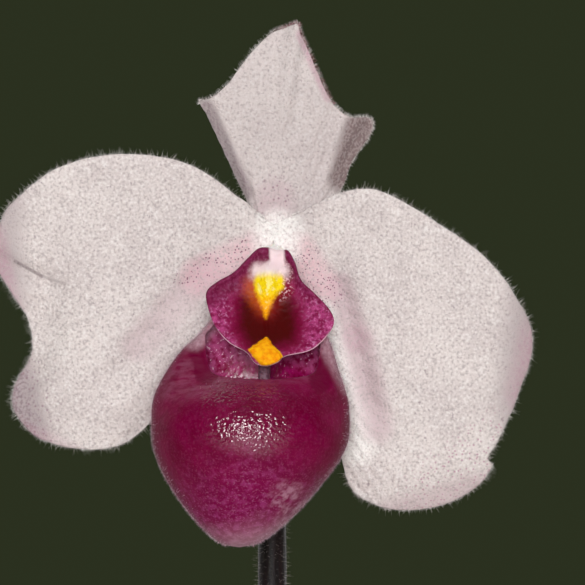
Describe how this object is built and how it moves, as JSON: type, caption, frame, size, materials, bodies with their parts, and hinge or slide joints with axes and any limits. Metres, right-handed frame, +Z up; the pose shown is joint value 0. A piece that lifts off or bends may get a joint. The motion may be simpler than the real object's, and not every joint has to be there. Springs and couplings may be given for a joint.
{
  "type": "potted slipper orchid",
  "caption": "A slipper orchid in a plain clay pot of bark: a fan of leathery leaves, one hairy stalk, and one pale pink bloom with a magenta pouch.",
  "frame": {"origin": "the middle of the pot's flat foot, on the surface that the pot stands on", "axes": "+Z up through the pot and the stalk, -Y towards the viewer of the bloom, +X to that viewer's right"},
  "size_m": [0.2053, 0.108, 0.315],
  "materials": {
    "terracotta": "unglazed fired clay, matt, with pale mineral bloom",
    "bark": "broken conifer bark chips, rough and dry",
    "root": "brown, finely hairy roots",
    "leaf": "leathery, tessellated in two greens above and purple-spotted below",
    "stalk": "dark purple skin under short pale hairs",
    "bract": "thin green leaf with purple spots and hairs",
    "ovary": "ribbed, green and purple, with dense pale hairs",
    "sepal": "velvety pinkish white",
    "petal": "velvety white, flushed pink at the margins, dotted purple near the middle",
    "lip": "waxy deep magenta, paler and finely downy towards the foot and rim",
    "column": "waxy magenta shield with a dark middle, yellow keel and yellow tongue"
  },
  "bodies": {
    "root": {"pot": "terracotta", "potting_bark": "bark", "rootstock": "root", "leaf_1": "leaf", "leaf_2": "leaf", "leaf_3": "leaf", "leaf_4": "leaf", "leaf_5": "leaf", "leaf_6": "leaf", "stalk": "stalk", "bract": "bract", "ovary": "ovary", "dorsal_sepal": "sepal", "synsepal": "sepal", "petal_left": "petal", "petal_right": "petal", "lip": "lip", "column": "column"}
  },
  "joints": []
}
